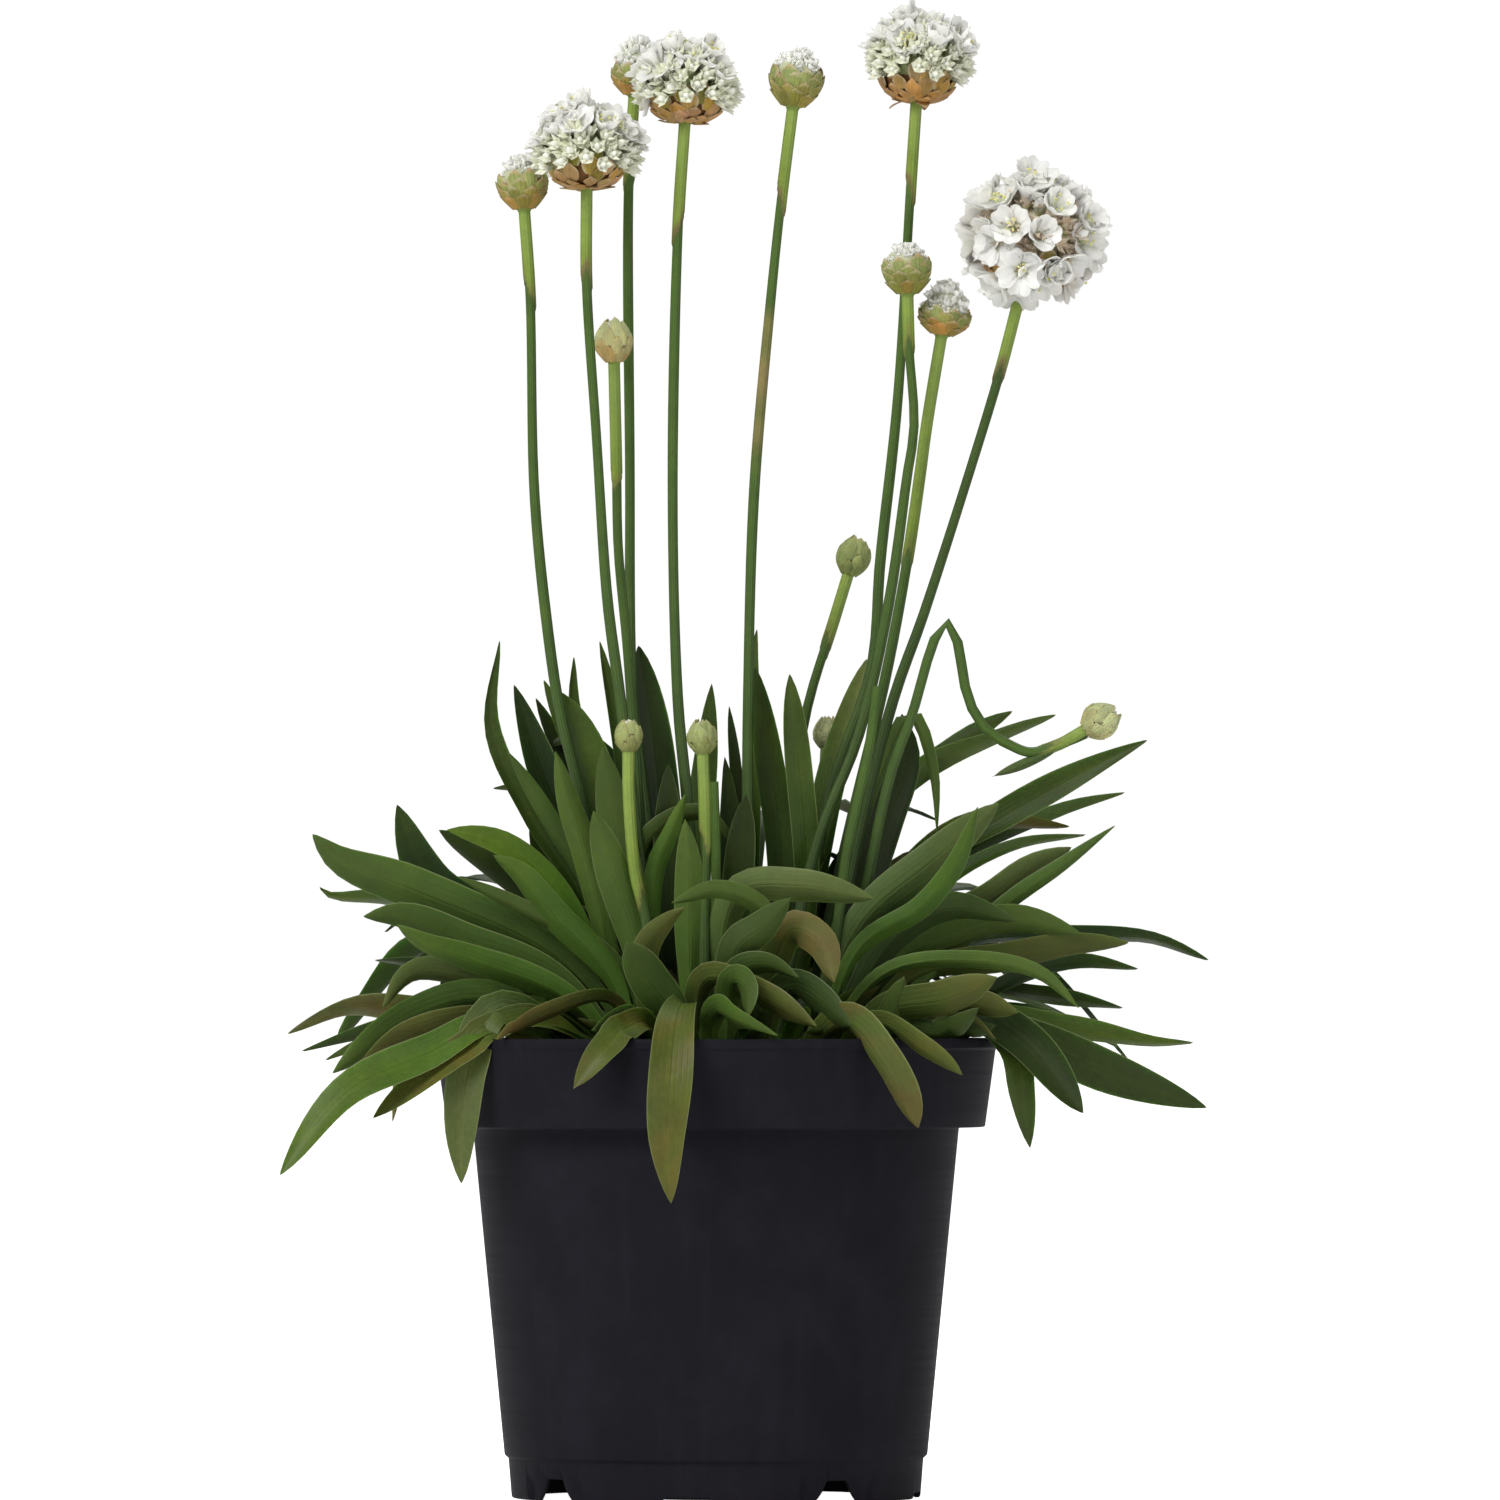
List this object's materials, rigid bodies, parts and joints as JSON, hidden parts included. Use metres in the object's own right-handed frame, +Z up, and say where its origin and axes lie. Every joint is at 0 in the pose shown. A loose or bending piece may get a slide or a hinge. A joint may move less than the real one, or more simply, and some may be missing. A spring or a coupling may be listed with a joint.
{
  "type": "potted sea thrift",
  "caption": "White-flowered sea thrift with a rosette of lance-shaped leaves, tall bare stalks, round heads and buds, in a black nursery pot.",
  "frame": {"origin": "middle of the pot's foot, on the surface that the pot stands on", "axes": "+Z up along the pot's axis, -Y towards the side that the picture shows, +X to its right"},
  "size_m": [0.213, 0.1772, 0.3457],
  "materials": {
    "pot_plastic": "satin",
    "peat": "matte",
    "leaf": "satin",
    "stalk": "satin",
    "bract": "matte",
    "petal": "matte",
    "green_bud": "matte"
  },
  "bodies": {
    "root": {"pot": "pot_plastic", "soil": "peat", "leaves": "leaf", "scape_a": "stalk", "scape_b": "stalk", "scape_c": "stalk", "scape_d": "stalk", "scape_e": "stalk", "scape_f": "stalk", "scape_g": "stalk", "scape_h": "stalk", "scape_i": "stalk", "scape_j": "stalk", "scape_k": "stalk", "scape_l": "stalk", "scape_m": "stalk", "scape_n": "stalk", "scape_o_cut": "stalk", "scape_q_cut": "stalk", "scape_r": "stalk", "flower_b_bracts": "bract", "flower_d_bracts": "bract", "flower_f_bracts": "bract", "flower_i_bracts": "bract", "flower_b_florets": "petal", "flower_d_florets": "petal", "flower_f_florets": "petal", "flower_i_florets": "petal", "bud_a_bracts": "bract", "bud_c_bracts": "bract", "bud_e_bracts": "bract", "bud_g_bracts": "bract", "bud_h_bracts": "bract", "bud_a_petals": "petal", "bud_c_petals": "petal", "bud_e_petals": "petal", "bud_g_petals": "petal", "bud_h_petals": "petal", "bud_j": "green_bud", "bud_k": "green_bud", "bud_l": "green_bud", "bud_m": "green_bud", "bud_n": "green_bud", "bud_r": "green_bud"}
  },
  "joints": []
}
